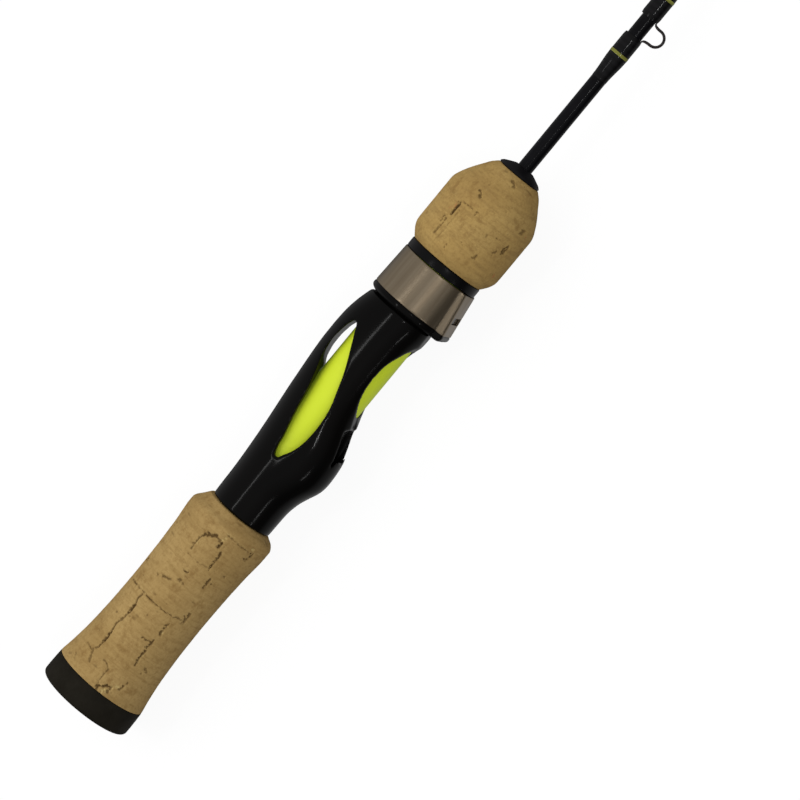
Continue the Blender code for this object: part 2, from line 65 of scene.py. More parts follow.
GUIDES = [("stripper", 460.7, 26.2, 8.9, 5.8, 14.0),
          ("guide_2", 561.0, 17.2, 6.2, 3.8, 11.0),
          ("guide_3", 637.0, 12.6, 4.7, 2.7, 9.5),
          ("guide_4", 696.0, 10.0, 3.8, 2.0, 8.5),
          ("guide_5", 737.0, 8.6, 3.3, 1.6, 8.0)]
BLANK = [(4.0, 2.06), (236.0, 2.04), (301.0, 1.23), (338.0, 1.19), (349.0, 1.18), (431.0, 0.975),
         (446.0, 0.93), (545.0, 0.80), (TIP - 4.6, 0.55)]


# ---------------------------------------------------------------- materials

class Nodes:
    """A material's node tree with the Principled shader at its end."""

    def __init__(self, name, **values):
        self.material = bpy.data.materials.new(name)
        self.material.use_nodes = True
        self.tree = self.material.node_tree
        self.shader = self.tree.nodes["Principled BSDF"]
        for socket, value in values.items():
            self.shader.inputs[socket.replace("_", " ")].default_value = value
        self.place = self.tree.nodes.new("ShaderNodeTexCoord").outputs["Object"]

    def node(self, kind, **settings):
        made = self.tree.nodes.new("ShaderNode" + kind)
        for key, value in settings.items():
            setattr(made, key, value)
        return made

    def link(self, start, end):
        self.tree.links.new(start, end)

    def stretched(self, x, y, z):
        mapping = self.node("Mapping")
        mapping.inputs["Scale"].default_value = (x, y, z)
        self.link(self.place, mapping.inputs["Vector"])
        return mapping.outputs["Vector"]

    def noise(self, scale, detail=3.0, rough=0.5, stretch=(1, 1, 1)):
        made = self.node("TexNoise")
        made.inputs["Scale"].default_value = scale
        made.inputs["Detail"].default_value = detail
        made.inputs["Roughness"].default_value = rough
        self.link(self.stretched(*stretch), made.inputs["Vector"])
        return made.outputs["Fac"]

    def ramp(self, value, stops):
        made = self.node("ValToRGB")
        elements = made.color_ramp.elements
        while len(elements) < len(stops):
            elements.new(0.5)
        for element, (at, colour) in zip(elements, stops):
            element.position = at
            element.color = (*colour, 1.0) if len(colour) == 3 else colour
        self.link(value, made.inputs["Fac"])
        return made.outputs["Color"]

    def mix(self, factor, a, b, blend="MIX"):
        made = self.node("Mix", data_type="RGBA", blend_type=blend)
        for socket, value in ((made.inputs[0], factor), (made.inputs[6], a), (made.inputs[7], b)):
            if isinstance(value, bpy.types.NodeSocket):
                self.link(value, socket)
            elif isinstance(value, tuple):
                socket.default_value = (*value, 1.0)
            else:
                socket.default_value = value
        return made.outputs[2]

    def attribute(self, name):
        return self.node("Attribute", attribute_name=name).outputs["Fac"]

    def range(self, value, low, high):
        made = self.node("MapRange")
        made.inputs["To Min"].default_value = low
        made.inputs["To Max"].default_value = high
        self.link(value, made.inputs["Value"])
        return made.outputs["Result"]

    def colour(self, value):
        self.link(value, self.shader.inputs["Base Color"])

    def rough(self, value):
        self.link(value, self.shader.inputs["Roughness"])

    def bump(self, height, distance, strength=1.0):
        made = self.node("Bump")
        made.inputs["Distance"].default_value = distance
        made.inputs["Strength"].default_value = strength
        self.link(height, made.inputs["Height"])
        self.link(made.outputs["Normal"], self.shader.inputs["Normal"])


def plastic(name, dark, light, rough, scale=60.0, **values):
    """A moulded or lacquered surface with a faint mottle and slightly uneven gloss."""
    made = Nodes(name, **values)
    blotch = made.noise(scale, 4.0)
    made.colour(made.ramp(blotch, [(0.3, dark), (0.7, light)]))
    made.rough(made.range(made.noise(scale * 5, 2.0), rough * 0.8, rough * 1.25))
    return made


def cork_material(name, dark, middle, light, red_specks):
    """Natural cork, turned and sanded: mottled, with faint rings from the lathe and fine specks, and painted
    shade that colours its pits and cracks near-black.
    """
    made = Nodes(name, Specular_IOR_Level=0.12)
    broad = made.noise(75.0, 5.0, 0.6)
    base = made.ramp(broad, [(0.3, dark), (0.5, middle), (0.7, light)])
    rings = made.noise(900.0, 3.0, 0.6, (1, 0.15, 0.15))
    base = made.mix(made.ramp(rings, [(0.34, (0.55, 0.55, 0.55)), (0.54, (0, 0, 0))]), base,
                    (0.265, 0.165, 0.056))
    patches = made.ramp(made.noise(300.0, 4.0, 0.65), [(0.54, (0, 0, 0)), (0.70, (0.70, 0.70, 0.70))])
    base = made.mix(patches, base, (0.225, 0.130, 0.040))
    grain = made.noise(1300.0, 3.0, 0.7)
    base = made.mix(made.ramp(grain, [(0.30, (0.45, 0.45, 0.45)), (0.52, (0, 0, 0))]), base,
                    (0.215, 0.125, 0.040))
    base = made.mix(made.ramp(grain, [(0.62, (0, 0, 0)), (0.80, (0.4, 0.4, 0.4))]), base,
                    (0.52, 0.38, 0.17))
    if red_specks:
        red = made.ramp(made.noise(330.0, 3.0, 0.5, (0.7, 1, 1)), [(0.66, (0, 0, 0)), (0.74, (0.7, 0.7, 0.7))])
        base = made.mix(red, base, (0.36, 0.130, 0.050))
    base = made.mix(made.attribute("chip"), base, (0.62, 0.48, 0.20))
    # painted shade: the pits and cracks are coloured near-black, far darker than their shallow cuts would shade
    # them
    made.colour(made.mix(made.attribute("crack"), base, (0.085, 0.048, 0.015)))
    made.rough(made.range(broad, 0.78, 0.95))
    made.bump(grain, 0.00008, 0.5)
    return made.material


def steel_material():
    """Polished stainless tube, drawn along the rod."""
    made = Nodes("steel", Metallic=1.0)
    streak = made.noise(700.0, 3.0, 0.6, (0.05, 1, 1))
    made.colour(made.ramp(streak, [(0.3, (0.255, 0.200, 0.135)), (0.7, (0.315, 0.255, 0.180))]))
    made.rough(made.range(made.noise(60.0), 0.30, 0.38))
    return made.material


def thread_material(name, dark, light, turns_per_metre=3600.0, **values):
    """Wound thread seen through a clear coat: fine rings round the rod."""
    made = Nodes(name, Roughness=0.5, Specular_IOR_Level=0.05, Coat_Weight=0.30, Coat_Roughness=0.08,
                 **values)
    wave = made.node("TexWave", wave_type="BANDS", bands_direction="X")
    wave.inputs["Scale"].default_value = turns_per_metre / 20.0
    wave.inputs["Distortion"].default_value = 0.6
    made.link(made.place, wave.inputs["Vector"])
    rings = made.ramp(wave.outputs["Fac"], [(0.2, dark), (0.8, light)])
    made.colour(made.mix(made.range(made.noise(300.0), 0.0, 0.6), rings, dark))
    return made.material


def make_materials():
    black = (0.0009, 0.0009, 0.0009)
    made = {
        "cork": cork_material("cork", (0.330, 0.214, 0.076), (0.372, 0.246, 0.092),
                              (0.412, 0.278, 0.108), False),
        "fore_cork": cork_material("fore_cork", (0.335, 0.212, 0.070), (0.385, 0.250, 0.083),
                                   (0.425, 0.285, 0.100), True),
        "steel": steel_material(),
        "cap": plastic("cap", (0.0085, 0.0070, 0.0042), (0.0130, 0.0110, 0.0072), 0.70, 220.0,
                       Specular_IOR_Level=0.10),
        "front_cap": plastic("front_cap", (0.0035, 0.0032, 0.0040), (0.0070, 0.0064, 0.0075), 0.40, 120.0,
                             Specular_IOR_Level=0.12),
        "gloss": plastic("gloss", black, (0.0026, 0.0022, 0.0020), 0.12, 30.0, Specular_IOR_Level=0.10),
        "collar": plastic("collar", (0.0010, 0.0009, 0.0012), (0.0024, 0.0022, 0.0026), 0.25, 60.0,
                          Specular_IOR_Level=0.12),
        # painted glow: a faint emission lifts the lime sleeve, in its shaded bed as much as in the light
        "lime": plastic("lime", (0.585, 0.690, 0.026), (0.635, 0.735, 0.036), 0.40, 40.0,
                        Specular_IOR_Level=0.12, Emission_Color=(0.40, 0.70, 0.04, 1),
                        Emission_Strength=0.06),
        "blank": plastic("blank", (0.0018, 0.0017, 0.0022), (0.0040, 0.0038, 0.0050), 0.14, 200.0,
                         Specular_IOR_Level=0.11),
        "black_thread": thread_material("black_thread", (0.0015, 0.0013, 0.0016), (0.0040, 0.0036, 0.0045)),
        "olive_thread": thread_material("olive_thread", (0.17, 0.17, 0.030), (0.30, 0.31, 0.060)),
        "frame": plastic("frame", (0.010, 0.007, 0.007), (0.024, 0.015, 0.014), 0.22, 150.0,
                         Metallic=0.7, Coat_Weight=0.4),
        "ceramic": plastic("ceramic", (0.020, 0.014, 0.014), (0.045, 0.028, 0.026), 0.08, 120.0,
                           Coat_Weight=0.6),
        "arbor": plastic("arbor", (0.55, 0.50, 0.42), (0.66, 0.62, 0.54), 0.85, 250.0),
    }
    return {name: thing if isinstance(thing, bpy.types.Material) else thing.material
            for name, thing in made.items()}


# ---------------------------------------------------------------- shapes

def interpolate(points, x):
    if x <= points[0][0]:
        return points[0][1]
    for (x0, v0), (x1, v1) in zip(points, points[1:]):
        if x <= x1:
            return v0 + (v1 - v0) * (x - x0) / (x1 - x0)
    return points[-1][1]


def smooth_curve(points, x):
    """Monotone cubic through points, (x, value) in rising x, for a moulded outline."""
    if x <= points[0][0]:
        return points[0][1]
    if x >= points[-1][0]:
        return points[-1][1]
    slopes = [(v1 - v0) / (x1 - x0) for (x0, v0), (x1, v1) in zip(points, points[1:])]
    tangents = [slopes[0]]
    for a, b in zip(slopes, slopes[1:]):
        tangents.append(0.0 if a * b <= 0 else 2 * a * b / (a + b))
    tangents.append(slopes[-1])
    for i, ((x0, v0), (x1, v1)) in enumerate(zip(points, points[1:])):
        if x <= x1:
            h = x1 - x0
            t = (x - x0) / h
            return ((2 * t ** 3 - 3 * t ** 2 + 1) * v0 + (t ** 3 - 2 * t ** 2 + t) * h * tangents[i]
                    + (3 * t ** 2 - 2 * t ** 3) * v1 + (t ** 3 - t ** 2) * h * tangents[i + 1])
    return points[-1][1]


def blank_radius(x):
    return interpolate(BLANK, x)


def steps(start, end, count):
    return [start + (end - start) * i / count for i in range(count + 1)]


def new_object(name, mesh, material, smooth=40.0):
    obj = bpy.data.objects.new(name, mesh)
    bpy.context.scene.collection.objects.link(obj)
    mesh.materials.clear()
    if material is not None:
        mesh.materials.append(MATERIALS[material])
    if smooth:
        mesh.shade_smooth()
        mesh.set_sharp_from_angle(angle=math.radians(smooth))
    return obj


def dress(obj, body, slot, *stands_for):
    """obj rides on a body and stands for its CAD nodes; slot is not used."""
    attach(obj, body)
    if stands_for:
        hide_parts(*stands_for)
    return obj


def surface_grid(name, sections, closed_ends, material, smooth=40.0):
    """A mesh through rings of points, all of one length; the last ring joins the first where
    closed_ends is "loop" and each end is filled where it is "caps"."""
    rows, count = len(sections), len(sections[0])
    points = [point for section in sections for point in section]
    faces = []
    for row in range(rows - 1 if closed_ends == "caps" else rows):
        after = (row + 1) % rows
        for i in range(count):
            j = (i + 1) % count
            faces.append((row * count + i, row * count + j, after * count + j, after * count + i))
    if closed_ends == "caps":
        faces.append(tuple(range(count))[::-1])
        faces.append(tuple(range((rows - 1) * count, rows * count)))
    mesh = bpy.data.meshes.new(name)
    mesh.from_pydata(points, [], faces)
    fixing = bmesh.new()
    fixing.from_mesh(mesh)
    bmesh.ops.remove_doubles(fixing, verts=fixing.verts, dist=1e-7)
    bmesh.ops.recalc_face_normals(fixing, faces=fixing.faces)
    fixing.to_mesh(mesh)
    fixing.free()
    return new_object(name, mesh, material, smooth)


def turned(name, profile, material, facets=128, place=(0.0, 0.0), lean=0.0, smooth=40.0):
    """A piece turned about the rod's axis, or about an axis at place that leans towards -Y.

    profile is (station, radius) all the way round the section, or from axis to axis."""
    spin = Matrix.Translation((place[0] * MM, place[1] * MM, 0)) @ Matrix.Rotation(lean, 4, "Z")
    rings = []
    for station, radius in profile:
        ring = []
        for i in range(facets):
            angle = 2 * math.pi * i / facets
            point = Vector((station, radius * math.cos(angle), radius * math.sin(angle))) * MM
            ring.append(spin @ point)
        rings.append(ring)
    on_axis = min(radius for _, radius in profile) <= 0
    return surface_grid(name, rings, "caps" if on_axis else "loop", material, smooth)


def rounded(corners, radius, segments=4):
    """A polygon's corners, (station, radius) pairs, each rounded off."""
    made = []
    count = len(corners)
    for i in range(count):
        here = Vector(corners[i])
        before, after = Vector(corners[i - 1]) - here, Vector(corners[(i + 1) % count]) - here
        size = min(radius, before.length * 0.45, after.length * 0.45)
        start, end = here + before.normalized() * size, here + after.normalized() * size
        for t in steps(0.0, 1.0, segments):
            made.append(tuple((1 - t) ** 2 * start + 2 * t * (1 - t) * here + t ** 2 * end))
    return made


def sleeve(name, stations, outer, inner, material, facets, smooth=40.0):
    """A tube about the rod's axis; outer and inner give the radius at (station, angle)."""
    rings = []
    for surface, order in ((outer, stations), (inner, stations[::-1])):
        for x in order:
            ring = []
            for i in range(facets):
                angle = 2 * math.pi * i / facets
                radius = surface(x, angle)
                ring.append(Vector((x, radius * math.cos(angle), radius * math.sin(angle))) * MM)
            rings.append(ring)
    return surface_grid(name, rings, "loop", material, smooth)


def sweep(name, path, sizes, material, facets=16, power=2.0):
    """A rod along path, (x, y, z) points in mm; sizes are (in plane, across) half widths."""
    rings = []
    last = len(path) - 1
    for i, (point, (half, across)) in enumerate(zip(path, sizes)):
        ahead = Vector(path[min(i + 1, last)]) - Vector(path[max(i - 1, 0)])
        ahead.normalize()
        side = Vector((-ahead.y, ahead.x, 0.0)).normalized()
        ring = []
        for k in range(facets):
            angle = 2 * math.pi * k / facets
            c, s = math.cos(angle), math.sin(angle)
            c = math.copysign(abs(c) ** (2 / power), c) * half
            s = math.copysign(abs(s) ** (2 / power), s) * across
            ring.append((Vector(point) + side * c + Vector((0, 0, s))) * MM)
        rings.append(ring)
    return surface_grid(name, rings, "caps", material)


def prism(name, outline, low, high):
    """A cutter: a smooth outline, (station, y), that reaches from height low to height high."""
    curve = bpy.data.curves.new(name, "CURVE")
    curve.dimensions = "2D"
    curve.fill_mode = "BOTH"
    curve.extrude = (high - low) / 2 * MM
    curve.resolution_u = 12
    spline = curve.splines.new("BEZIER")
    spline.bezier_points.add(len(outline) - 1)
    for point, (x, y) in zip(spline.bezier_points, outline):
        point.co = (x * MM, y * MM, 0.0)
        point.handle_left_type = point.handle_right_type = "AUTO"
    spline.use_cyclic_u = True
    shape = bpy.data.objects.new(name, curve)
    bpy.context.scene.collection.objects.link(shape)
    bpy.context.view_layer.update()
    mesh = bpy.data.meshes.new_from_object(shape.evaluated_get(bpy.context.evaluated_depsgraph_get()))
    bpy.data.objects.remove(shape)
    mesh.transform(Matrix.Translation((0.0, 0.0, (low + high) / 2 * MM)))
    fixing = bmesh.new()
    fixing.from_mesh(mesh)
    bmesh.ops.remove_doubles(fixing, verts=fixing.verts, dist=2e-6)
    bmesh.ops.recalc_face_normals(fixing, faces=fixing.faces)
    fixing.to_mesh(mesh)
    fixing.free()
    return new_object(name, mesh, None, 0)


def block(name, low, high):
    mesh = bpy.data.meshes.new(name)
    made = bmesh.new()
    size = [(b - a) * MM for a, b in zip(low, high)]
    middle = [(a + b) / 2 * MM for a, b in zip(low, high)]
    bmesh.ops.create_cube(made, size=1.0,
                          matrix=Matrix.Translation(middle) @ Matrix.Diagonal((*size, 1.0)))
    made.to_mesh(mesh)
    made.free()
    return new_object(name, mesh, None, 0)


def combine(obj, other, operation="DIFFERENCE"):
    boolean = obj.modifiers.new(other.name, "BOOLEAN")
    boolean.operation = operation
    boolean.solver = "EXACT"
    boolean.object = other


def settle(obj, *helpers):
    """Applies obj's modifiers and removes the helper objects they used."""
    bpy.context.view_layer.update()
    evaluated = obj.evaluated_get(bpy.context.evaluated_depsgraph_get())
    mesh = bpy.data.meshes.new_from_object(evaluated)
    obj.modifiers.clear()
    obj.data = mesh
    for helper in helpers:
        bpy.data.objects.remove(helper)


# ---------------------------------------------------------------- cork

class Marks:
    """The cracks, pits and chips of the cork, each (station, offset across the top view)."""

    def __init__(self):
        self.cracks = []
        self.chips = []

    def crack(self, points, width, depth, broken=0.5):
        self.cracks.append(([Vector((x, t)) for x, t in points], width, depth, broken))

    def chip(self, x, t, size):
        self.chips.append((Vector((x, t)), size))


def distance_to_line(point, line):
    best = 1e9
    for a, b in zip(line, line[1:]):
        along = b - a
        t = max(0.0, min(1.0, (point - a).dot(along) / along.length_squared))
        best = min(best, (a + along * t - point).length)
    return best


def cork_piece(name, start, end, profile, bore, marks, body, stands_for, material):
    """A cork ring: a turned surface with its pits and cracks cut into the skin; its crack layer marks where
    their painted shade goes.
    """
    spacing = 0.21
    rows = int((end - start) / spacing)
    count = int(2 * math.pi * 12.0 / spacing)
    inner = bore
    rings, crack_values, chip_values = [], [], []
    for x in steps(start, end, rows):
        edge = min(x - start, end - x)
        ring = []
        for i in range(count):
            angle = 2 * math.pi * i / count
            y, z = math.cos(angle), math.sin(angle)
            radius = profile(x, y) - 0.05 * max(0.0, 1 - edge / 0.25) ** 2
            here = Vector((x, y * radius, z * radius))
            pit = noise.noise(here * 0.62 + Vector((7.0, 3.0, 1.0)))
            small = noise.noise(here * 1.9)
            wander = noise.noise(here * 1.4 + Vector((20, 0, 0)))
            crack = max(0.0, min(0.6, (small * 0.4 + pit - 0.74) / 0.14))
            lens = noise.noise(Vector((x * 0.95, y * radius * 0.28, z * radius * 0.28 + 40.0)))
            crack = max(crack, 0.35 * max(0.0, min(1.0, (lens - 0.60) / 0.10)))
            chip = 0.0
            if z > 0:
                flat = Vector((x, -here.y))
                for line, width, depth, broken in marks.cracks:
                    low_x = min(point.x for point in line) - 2
                    high_x = max(point.x for point in line) + 2
                    if low_x < x < high_x:
                        away = distance_to_line(flat + Vector((wander, small)) * 0.35, line)
                        size = width * (1.15 + 1.6 * small) * (1.0 if wander > broken * 0.4 - 0.5 else 0.35)
                        crack = max(crack, depth * max(0.0, min(1.0, (size - away) / 0.18 + 0.5)))
                for centre, size in marks.chips:
                    away = (flat + Vector((wander, small)) * 0.5 - centre).length
                    chip = max(chip, max(0.0, min(1.0, (size - away) / 0.2 + 0.5)))
            fine_grain = noise.noise(here * 4.5) * 0.02 + noise.noise(here * 1.1) * 0.02
            depth = 0.42 * crack + 0.18 * chip * (1 - crack)
            ring.append(Vector((x, y * (radius + fine_grain - depth), z * (radius + fine_grain - depth)))
                        * MM)
            crack_values.append(crack)
            chip_values.append(chip * (1 - crack) * (0.5 + small))
        rings.append(ring)
    for x in (end, start):
        rings.append([Vector((x, inner * math.cos(2 * math.pi * i / count),
                              inner * math.sin(2 * math.pi * i / count))) * MM for i in range(count)])
        crack_values += [0.0] * count
        chip_values += [0.0] * count
    points = [point for ring in rings for point in ring]
    total = len(rings)
    faces = []
    for row in range(total):
        after = (row + 1) % total
        for i in range(count):
            j = (i + 1) % count
            faces.append((row * count + i, row * count + j, after * count + j, after * count + i))
    mesh = bpy.data.meshes.new(name)
    mesh.from_pydata(points, [], [face[::-1] for face in faces])
    # the crack layer is the mask for the painted shade in the pits and cracks; the chip layer lightens broken
    # cork
    for label, values in (("crack", crack_values), ("chip", chip_values)):
        layer = mesh.attributes.new(label, "FLOAT", "POINT")
        layer.data.foreach_set("value", np.array(values, np.float32))
    obj = new_object(name, mesh, material, 55.0)
    return dress(obj, body, "cork", *stands_for)


def grip_marks():
    """The rear grip's marks, each point (station, offset towards the guides) on its upper side."""
    marks = Marks()
    long_crack = [(13.9, -5.5), (15.6, -4.3), (18.1, -4.1), (20.6, -4.3), (23.1, -4.8), (24.6, -4.2),
                  (27.4, -3.9), (29.7, -4.1), (31.6, -4.6), (32.9, -4.3)]
    marks.crack(long_crack, 0.17, 0.75, 0.3)
    marks.crack([(17.6, -4.1), (20.4, -4.3)], 0.26, 1.0)
    marks.crack([(27.2, -3.9), (29.9, -4.0)], 0.24, 1.0)
    marks.crack([(13.9, -5.5), (14.2, -7.5)], 0.11, 0.6)
    marks.crack([(11.1, -3.5), (14.0, -4.9)], 0.26, 0.55)
    marks.crack([(8.2, 2.0), (9.7, 1.5), (13.2, 1.6), (14.0, 0.2), (14.2, -0.8)], 0.11, 0.6, 0.3)
    marks.crack([(8.7, -6.9), (10.5, -8.1)], 0.10, 0.5)
    marks.crack([(7.3, 2.5), (8.2, 2.2), (9.1, 3.4), (9.8, 4.2)], 0.28, 0.95)
    marks.crack([(8.4, 5.1), (10.0, 4.9)], 0.22, 0.8)
    marks.crack([(10.8, 6.8), (12.0, 7.0)], 0.18, 0.8)
    marks.crack([(17.9, 5.8), (20.5, 5.4), (22.5, 5.6), (23.5, 5.1), (25.0, 5.6), (25.8, 5.4)], 0.17, 0.9)
    marks.crack([(27.5, 5.8), (29.5, 5.5), (31.5, 5.6)], 0.17, 0.8)
    marks.crack([(24.7, 3.0), (25.0, 5.4)], 0.13, 0.9)
    marks.crack([(17.9, 8.8), (18.8, 8.1)], 0.20, 0.6)
    marks.crack([(33.4, -9.4), (33.5, -3.5), (33.3, 1.7), (33.6, 5.4), (34.3, 7.7)], 0.11, 0.65, 0.2)
    marks.crack([(33.9, 7.9), (36.5, 7.9)], 0.28, 0.7)
    marks.crack([(40.0, -3.0), (40.6, -0.8)], 0.15, 0.75)
    marks.crack([(41.8, 2.2), (42.1, 0.7)], 0.20, 0.7)
    marks.crack([(44.4, 0.7), (44.9, 1.2)], 0.30, 0.8)
    marks.crack([(39.0, -10.2), (39.6, -10.0)], 0.30, 0.9)
    knot = [(49.9, -1.9), (51.4, -2.2), (53.9, -1.9), (54.9, -1.4), (55.9, -0.3), (56.7, 1.2), (56.4, 2.7),
            (55.1, 3.2)]
    marks.crack(knot, 0.17, 0.7, 0.3)
    marks.crack(knot[3:6], 0.32, 0.9, 0.0)
    marks.crack([(54.6, 3.2), (56.1, 3.4)], 0.26, 1.0)
    marks.crack([(58.6, 3.7), (58.4, 6.5), (58.2, 9.4)], 0.10, 0.6, 0.2)
    marks.crack([(56.0, 9.8), (57.2, 10.2), (58.4, 10.2)], 0.20, 0.9)
    marks.crack([(48.7, 4.9), (50.8, 4.7), (52.7, 4.9), (54.0, 4.7)], 0.17, 0.9)
    marks.crack([(44.0, 6.5), (46.8, 6.5)], 0.22, 0.8)
    marks.crack([(48.6, -1.9), (48.4, 1.7), (49.0, 4.7)], 0.08, 0.4, 0.2)
    for x, t, size in ((8.3, 4.4, 0.40), (8.7, 4.9, 0.35), (10.9, 6.1, 0.50), (10.0, 5.1, 0.35),
                       (7.6, 3.9, 0.40), (19.0, 5.7, 0.32), (20.0, 5.6, 0.32), (21.0, 5.7, 0.25),
                       (28.8, 5.8, 0.35), (50.4, -1.9, 0.35), (51.9, -1.8, 0.35), (53.2, -1.9, 0.30),
                       (56.9, 3.3, 0.30), (57.9, 3.4, 0.30), (59.0, 3.3, 0.25), (58.0, 10.0, 0.30),
                       (59.4, 9.8, 0.30)):
        marks.chip(x, t, size)
    return marks


def foregrip_marks():
    marks = Marks()
    marks.crack([(150.0, -5.3), (154.5, -5.3)], 0.15, 0.65)
    marks.crack([(153.5, -6.1), (155.0, -6.1)], 0.16, 0.6)
    marks.crack([(156.5, -5.0), (159.5, -4.9)], 0.26, 1.0, 0.0)
    marks.crack([(149.5, -3.8), (158.3, -3.8)], 0.09, 0.4, 0.2)
    marks.crack([(164.1, -1.9), (165.3, -3.2)], 0.26, 0.8)
    marks.crack([(160.1, 0.2), (160.8, 0.2)], 0.24, 0.6)
    marks.crack([(151.4, 6.5), (152.2, 6.5)], 0.30, 0.6)
    marks.crack([(157.3, 5.4), (157.8, 5.4)], 0.26, 0.4)
    marks.crack([(156.5, 10.6), (158.7, 10.6)], 0.24, 0.8)
    marks.crack([(163.2, 11.0), (164.2, 11.0)], 0.26, 0.6)
    marks.crack([(171.1, 2.5), (172.1, 1.0)], 0.26, 0.6)
    marks.crack([(160.5, -4.6), (160.6, -1.4)], 0.09, 0.6, 0.1)
    return marks


GRIP_OUTLINE = [(7.2, 13.0), (10.4, 12.45), (13.5, 12.03), (16.5, 11.7), (21.1, 11.4), (25.7, 11.18),
                (34.5, 11.05), (43.9, 11.2), (47, 11.33), (51.6, 11.56), (54.6, 11.84), (57.7, 12.06),
                (58.8, 12.05), (59.6, 11.75), (61.2, 10.45), (62.9, 9.15)]
FOREGRIP_OUTLINE = [(145.4, 10.6), (146.4, 11.35), (147.6, 12.15), (149.1, 12.70), (150.5, 12.80),
                    (162.4, 12.82), (163.4, 12.7), (164.3, 12.42), (165.9, 11.68), (167.4, 10.86),
                    (168.9, 9.9), (170.4, 8.86), (172.0, 7.75), (173.5, 6.25)]


def grip_radius(x, y):
    """The rear grip's outline; its shoulder sits further forward on the guides' side, where y is -1."""
    near_shoulder = min(1.0, max(0.0, (x - 56.0) / 2.5)) * min(1.0, max(0.0, (GRIP_END - x) / 1.2))
    return smooth_curve(GRIP_OUTLINE, x - 1.2 * max(0.0, -y) * near_shoulder)


def make_cork():
    seams = [GRIP_SEAM + CORK_RING * i for i in (-1, 0, 1, 2)]
    ends = [CAP_END] + seams + [GRIP_END]
    marks = grip_marks()
    for number, (start, end) in enumerate(zip(ends, ends[1:]), 1):
        cork_piece(f"grip_cork_{number}", start, end - 0.01, grip_radius, 2.3,
                   marks, "rod", [f"rear_cork_{number}"], "cork")
    marks = foregrip_marks()
    for number, (start, end, bore) in enumerate(((COLLAR_FRONT + 0.1, FOREGRIP_SEAM, 9.6),
                                                 (FOREGRIP_SEAM, FOREGRIP_END, 2.4)), 1):
        cork_piece(f"foregrip_cork_{number}", start, end - 0.01, lambda x, y: smooth_curve(FOREGRIP_OUTLINE, x),
                   bore, marks, "foregrip", [f"fore_cork_{number}"], "fore_cork")


# ---------------------------------------------------------------- handle

def make_cap():
    rounding, radius, front, hole = 1.1, 13.15, 7.12, 2.3
    rim = []
    for angle in steps(0, 90, 8):
        turn = math.radians(angle)
        rim.append((rounding * (1 - math.sin(turn)), radius - rounding * (1 - math.cos(turn))))
    outline = [(0.0, 0.0), (0.0, 6.0)] + rim[::-1] + [(3.0, radius), (5.0, 13.10), (6.9, 13.02), (front, 12.8),
                                                     (front, hole), (3.6, hole), (3.6, 0.0)]
    obj = turned("butt_cap_skin", outline, "cap", 160, smooth=50.0)
    dress(obj, "rod", "rubber", "butt_cap")


SPINE = [(63.0, 8.45), (66.0, 8.57), (69.9, 8.66), (73.7, 8.83), (77.5, 9.1), (81.3, 9.42), (85.1, 9.8),
         (88.9, 10.24), (92.7, 10.69), (96.5, 11.13), (100.3, 11.5), (104.1, 11.87), (108.0, 12.2),
         (111.8, 12.4), (115.6, 12.43), (119.4, 12.3), (123.2, 11.8), (127.0, 10.85), (128.75, 10.3)]
BELLY = [(63.0, 9.1), (66.0, 9.15), (70.0, 9.25), (73.7, 9.85), (77.5, 11.25), (79.4, 12.1), (81.3, 12.6),
         (83.2, 12.75), (85.1, 12.68), (88.9, 12.25), (92.7, 11.1), (96.5, 9.7), (100.3, 8.7), (104.0, 8.3),
         (112.0, 8.1), (122.0, 8.3), (126.0, 8.9), (128.75, 9.0)]
SIDE = [(63.0, 8.6), (70.0, 9.1), (82.0, 9.7), (95.0, 9.3), (108.0, 8.9), (118.0, 8.95), (128.75, 8.9)]
BEYOND = 20.0           # well outside the seat, for the ends of its cutters
SEAT_SECTIONS = 150
SEAT_FACETS = 160


def seat_radius(x, angle):
    spine, belly, side = smooth_curve(SPINE, x), smooth_curve(BELLY, x), smooth_curve(SIDE, x)
    across = math.cos(angle)
    if across > 0:
        return side + (spine - side) * across ** 2.5
    return side + (belly - side) * (-across) ** 1.3


